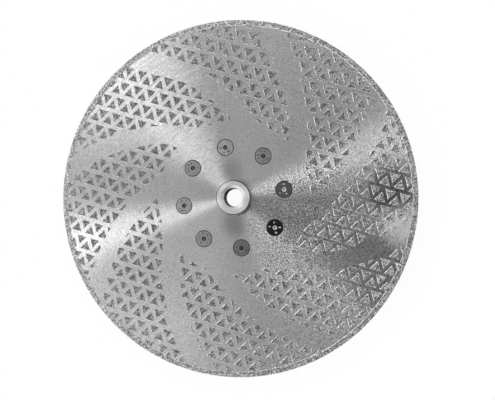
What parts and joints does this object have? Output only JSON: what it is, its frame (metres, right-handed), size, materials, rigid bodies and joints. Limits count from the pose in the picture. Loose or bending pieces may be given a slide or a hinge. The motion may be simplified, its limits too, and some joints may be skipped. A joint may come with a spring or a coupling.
{
  "type": "diamond cutting disc",
  "caption": "Round electroplated diamond cutting disc: a flat steel blade with a grit rim, triangular grit islands in swirling fields, and a riveted threaded hub for an angle grinder.",
  "frame": {"origin": "centre of the rear boss's end face, on which the disc stands with its working face up", "axes": "+Z along the spindle axis, out of the working face; +Y towards the top of the picture; +X to its right"},
  "size_m": [0.23, 0.23, 0.016],
  "materials": {
    "blade_steel": "turned, with fine concentric grooves",
    "hub_steel": "smooth turned and zinc plated",
    "rivet_steel": "flat pressed head",
    "diamond_grit": "coarse diamond grit held in nickel plating"
  },
  "bodies": {
    "root": {"steel_blade": "blade_steel", "hub_flange": "hub_steel", "rivets": "rivet_steel", "grit_rim": "diamond_grit", "grit_field_1": "diamond_grit", "grit_field_2": "diamond_grit", "grit_field_3": "diamond_grit", "grit_field_4": "diamond_grit", "grit_field_5": "diamond_grit", "grit_field_6": "diamond_grit", "grit_field_7": "diamond_grit", "grit_field_8": "diamond_grit"}
  },
  "joints": []
}
